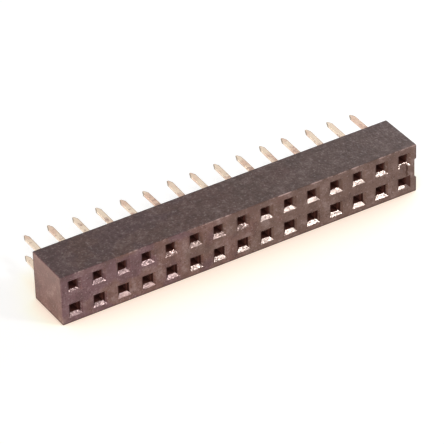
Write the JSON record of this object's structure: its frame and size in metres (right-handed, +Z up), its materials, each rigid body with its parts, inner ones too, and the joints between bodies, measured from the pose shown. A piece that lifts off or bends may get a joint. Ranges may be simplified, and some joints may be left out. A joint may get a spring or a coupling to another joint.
{
  "type": "circuit board header",
  "caption": "Socket header for circuit boards: a moulded strip with rows of square pin entries in its mating face and flat pointed solder tails behind it.",
  "frame": {"origin": "centre of the long side that the housing lies on, midway between the mating face and the board face", "axes": "+X along the strip, +Y out of the board face along the solder tails, +Z up through the two rows; the mating face looks towards -Y"},
  "size_m": [0.0302, 0.0073, 0.0041],
  "materials": {
    "housing": "injection-moulded glass-filled thermoplastic, dark brown-grey, finely mottled satin",
    "contact": "stamped copper alloy with a pale gold flash over nickel"
  },
  "bodies": {
    "root": {"housing": "housing", "contact_bottom_01": "contact", "contact_bottom_02": "contact", "contact_bottom_03": "contact", "contact_bottom_04": "contact", "contact_bottom_05": "contact", "contact_bottom_06": "contact", "contact_bottom_07": "contact", "contact_bottom_08": "contact", "contact_bottom_09": "contact", "contact_bottom_10": "contact", "contact_bottom_11": "contact", "contact_bottom_12": "contact", "contact_bottom_13": "contact", "contact_bottom_14": "contact", "contact_bottom_15": "contact", "contact_top_01": "contact", "contact_top_02": "contact", "contact_top_03": "contact", "contact_top_04": "contact", "contact_top_05": "contact", "contact_top_06": "contact", "contact_top_07": "contact", "contact_top_08": "contact", "contact_top_09": "contact", "contact_top_10": "contact", "contact_top_11": "contact", "contact_top_12": "contact", "contact_top_13": "contact", "contact_top_14": "contact", "contact_top_15": "contact"}
  },
  "joints": []
}
